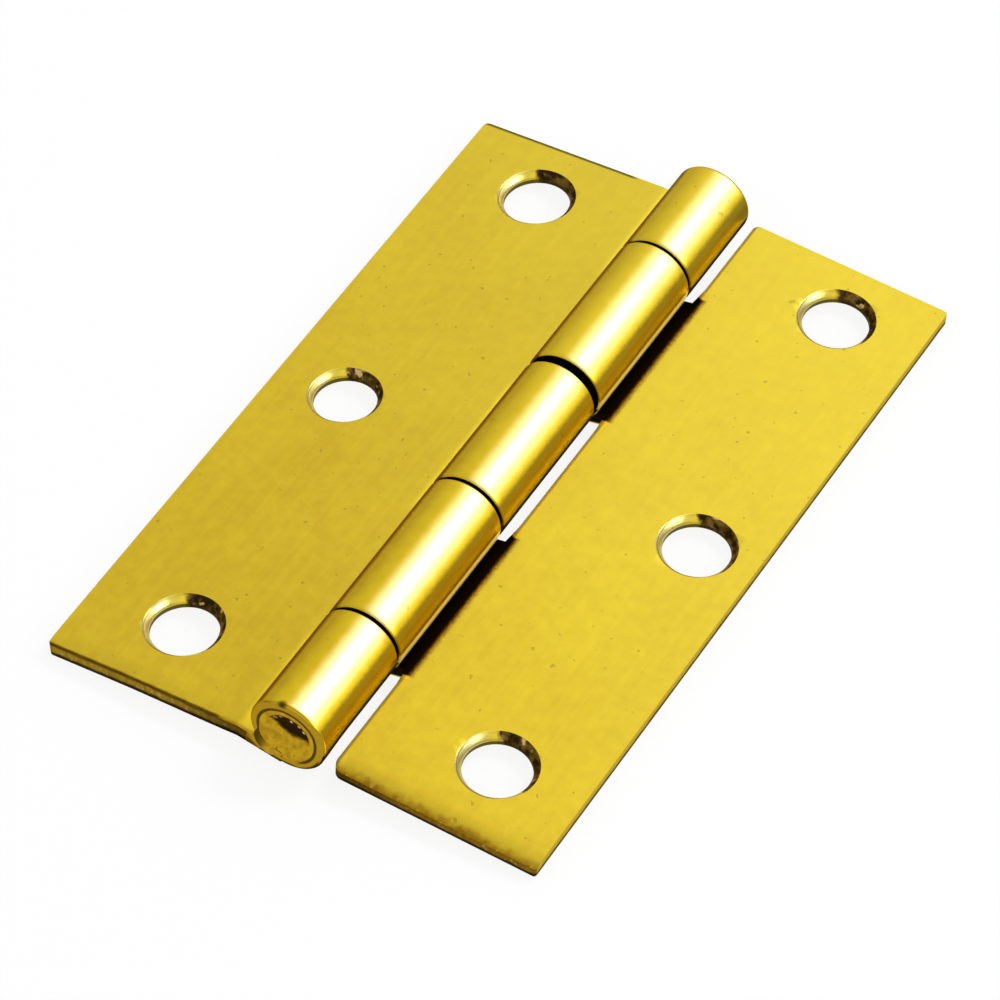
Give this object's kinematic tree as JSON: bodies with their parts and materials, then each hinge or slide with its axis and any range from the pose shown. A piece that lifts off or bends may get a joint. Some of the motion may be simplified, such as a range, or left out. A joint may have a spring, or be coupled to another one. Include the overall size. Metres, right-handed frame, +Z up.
{
  "type": "butt hinge",
  "caption": "Pressed-metal butt hinge: flat leaves, rolled knuckles taking turns along a staked pin, and countersunk screw holes in a shallow zigzag.",
  "frame": {"origin": "on the ground below the middle of the pin, with the hinge lying opened flat on its back", "axes": "+Y along the pin to the far end, +X to the two-knuckle leaf, +Z up, away from the leaves' backs"},
  "size_m": [0.0498, 0.076, 0.0076],
  "materials": {
    "leaf_brass": "bright yellow, pressed and tumbled, fine pits, brown at the sheared edges",
    "pin_brass": "bright yellow, punched ends with a darker dish"
  },
  "bodies": {
    "fixed_leaf": {"three_knuckle_leaf": "leaf_brass", "hinge_pin": "pin_brass"},
    "moving_leaf": {"two_knuckle_leaf": "leaf_brass"}
  },
  "joints": [
    {"name": "leaf_turn", "type": "hinge", "parent": "fixed_leaf", "child": "moving_leaf", "pos_m": [0, 0, 0.0038], "axis": [0, -1, 0], "range_deg": [-110, 186]}
  ]
}
